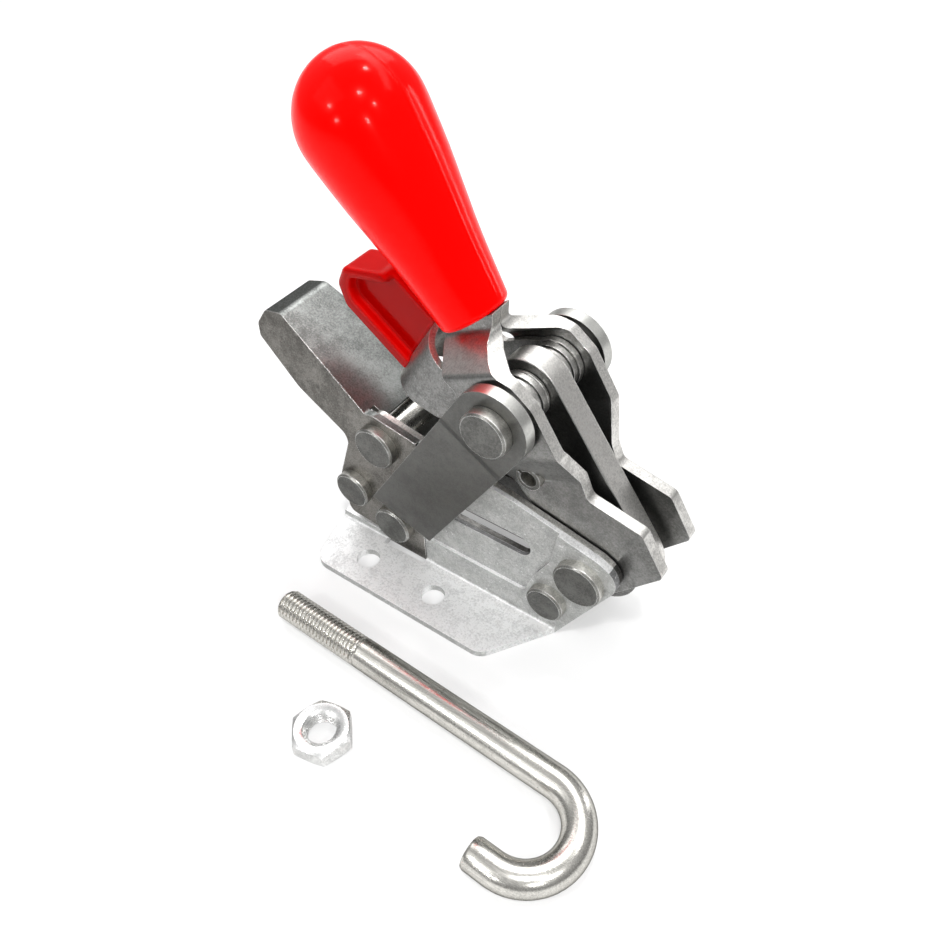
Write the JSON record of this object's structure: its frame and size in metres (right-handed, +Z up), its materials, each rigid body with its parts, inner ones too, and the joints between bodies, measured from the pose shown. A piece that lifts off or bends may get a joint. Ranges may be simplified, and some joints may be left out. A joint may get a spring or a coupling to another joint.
{
  "type": "over centre toggle latch",
  "caption": "Toggle latch clamp with a flanged base, folded squeeze lever, red-gripped handle, outer draw links, threaded trunnion and a loose hook bolt with its nut.",
  "frame": {"origin": "centre of the four mounting holes on the underside of the base", "axes": "+Z up out of the base, +X towards the main pivot, -X towards the hook, Y across the clamp"},
  "size_m": [0.168, 0.1327, 0.1646],
  "materials": {
    "steel_plate": "satin tumbled stainless sheet",
    "turned_steel": "turned stainless steel",
    "bolt_steel": "bright drawn stainless steel",
    "red_plastic": "gloss moulded red plastic"
  },
  "bodies": {
    "base": {"near_base_angle": "steel_plate", "far_base_angle": "steel_plate", "near_side_plate": "steel_plate", "far_side_plate": "steel_plate", "squeeze_lever": "steel_plate", "upper_guide_spacer": "turned_steel", "lower_guide_spacer": "turned_steel", "rear_spacer": "turned_steel", "front_spacer": "turned_steel", "upper_guide_rivet": "turned_steel", "lower_guide_rivet": "turned_steel", "rear_rivet": "turned_steel", "front_rivet": "turned_steel", "pivot_pin": "turned_steel", "hook_bolt": "bolt_steel", "hook_nut": "bolt_steel"},
    "handle": {"near_handle_plate": "steel_plate", "far_handle_plate": "steel_plate", "handle_grip": "red_plastic", "centre_link": "steel_plate", "link_pin": "turned_steel", "near_link_washer": "turned_steel", "far_link_washer": "turned_steel", "near_link_bush": "turned_steel", "far_link_bush": "turned_steel", "near_outer_washer": "turned_steel", "far_outer_washer": "turned_steel", "near_pivot_washer": "turned_steel", "far_pivot_washer": "turned_steel", "tie_pin": "turned_steel"},
    "draw_links": {"near_draw_link": "steel_plate", "far_draw_link": "steel_plate"},
    "trunnion": {"barrel_nut": "turned_steel"},
    "release": {"release_lever": "steel_plate", "release_pad": "red_plastic"}
  },
  "joints": [
    {"name": "handle_hinge", "type": "hinge", "parent": "base", "child": "handle", "pos_m": [0.0622, 0, 0.033], "axis": [0, 1, 0], "range_deg": [0, 22.5]},
    {"name": "draw_link_hinge", "type": "hinge", "parent": "handle", "child": "draw_links", "pos_m": [0.0349, 0, 0.0843], "axis": [0, 1, 0], "range_deg": [-38.6, 0]},
    {"name": "trunnion_hinge", "type": "hinge", "parent": "draw_links", "child": "trunnion", "pos_m": [0.0029, 0, 0.033], "axis": [0, 1, 0], "range_deg": [0, 16.1]},
    {"name": "release_hinge", "type": "hinge", "parent": "handle", "child": "release", "pos_m": [0.0349, 0, 0.0843], "axis": [0, 1, 0], "range_deg": [0, 4], "stiffness_Nm_per_rad": 0.15, "springref_deg": -11.46}
  ],
  "couplings": [
    {"joint": "draw_link_hinge", "follows": "handle_hinge", "ratio": -1.71},
    {"joint": "trunnion_hinge", "follows": "handle_hinge", "ratio": 0.71}
  ]
}
